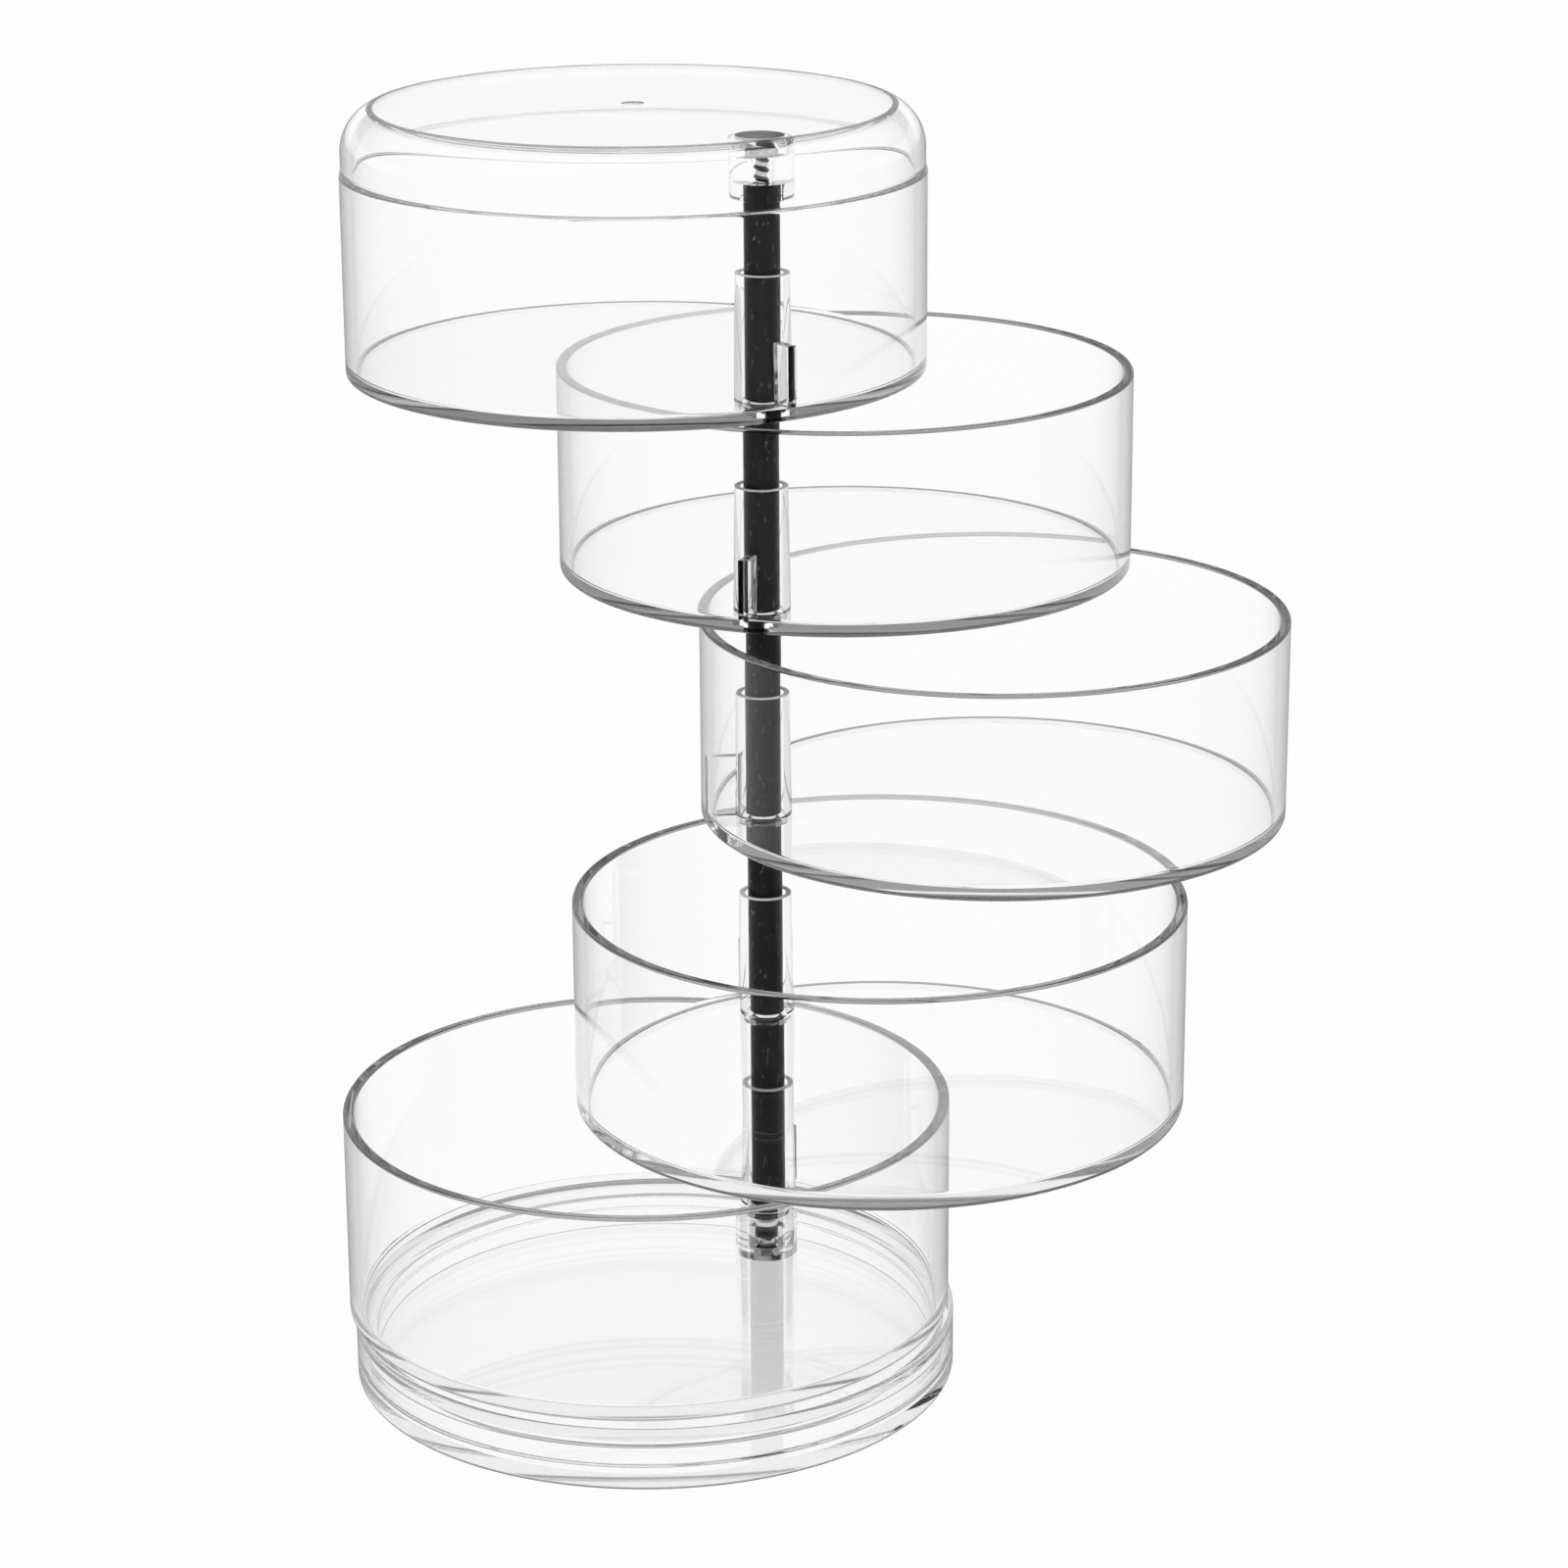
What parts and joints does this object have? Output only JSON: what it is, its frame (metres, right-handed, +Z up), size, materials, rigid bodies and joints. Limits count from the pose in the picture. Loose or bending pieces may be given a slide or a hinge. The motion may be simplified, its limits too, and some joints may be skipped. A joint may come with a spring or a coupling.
{
  "type": "rotating jewelry box",
  "caption": "Round clear trays stacked on an upright off-centre axle between a disc base and a domed lid; each tray and the lid swing out around the axle.",
  "frame": {"origin": "centre of the base's round underside, on the surface it stands on", "axes": "+Z up along the axle; the axle stands at the back right, so that +Y points from the viewer of the fanned-out trays towards the back and +X to that viewer's right"},
  "size_m": [0.1767, 0.1893, 0.2204],
  "materials": {
    "clear_plastic": "clear, polished, injection moulded",
    "black_plastic": "black, semi-gloss, moulded",
    "screw_steel": "zinc plated"
  },
  "bodies": {
    "base": {"base_bottom": "clear_plastic", "base_top": "clear_plastic", "base_screw": "screw_steel", "axle_rod_1": "black_plastic", "axle_rod_2": "black_plastic", "axle_rod_3": "black_plastic", "axle_rod_4": "black_plastic", "axle_rod_5": "black_plastic", "lid_screw": "screw_steel"},
    "lid": {"lid": "clear_plastic"},
    "tray_1": {"tray_1": "clear_plastic"},
    "tray_2": {"tray_2": "clear_plastic"},
    "tray_3": {"tray_3": "clear_plastic"},
    "tray_4": {"tray_4": "clear_plastic"},
    "tray_5": {"tray_5": "clear_plastic"}
  },
  "joints": [
    {"name": "lid_turn", "type": "hinge", "parent": "base", "child": "lid", "pos_m": [0.02085, 0.0384, 0.2087], "axis": [0, 0, 1], "continuous": true},
    {"name": "tray_1_turn", "type": "hinge", "parent": "base", "child": "tray_1", "pos_m": [0.02085, 0.0384, 0.1703], "axis": [0, 0, 1], "continuous": true},
    {"name": "tray_2_turn", "type": "hinge", "parent": "base", "child": "tray_2", "pos_m": [0.02085, 0.0384, 0.1309], "axis": [0, 0, 1], "continuous": true},
    {"name": "tray_3_turn", "type": "hinge", "parent": "base", "child": "tray_3", "pos_m": [0.02085, 0.0384, 0.0915], "axis": [0, 0, 1], "continuous": true},
    {"name": "tray_4_turn", "type": "hinge", "parent": "base", "child": "tray_4", "pos_m": [0.02085, 0.0384, 0.0521], "axis": [0, 0, 1], "continuous": true},
    {"name": "tray_5_turn", "type": "hinge", "parent": "base", "child": "tray_5", "pos_m": [0.02085, 0.0384, 0.0127], "axis": [0, 0, 1], "continuous": true}
  ]
}
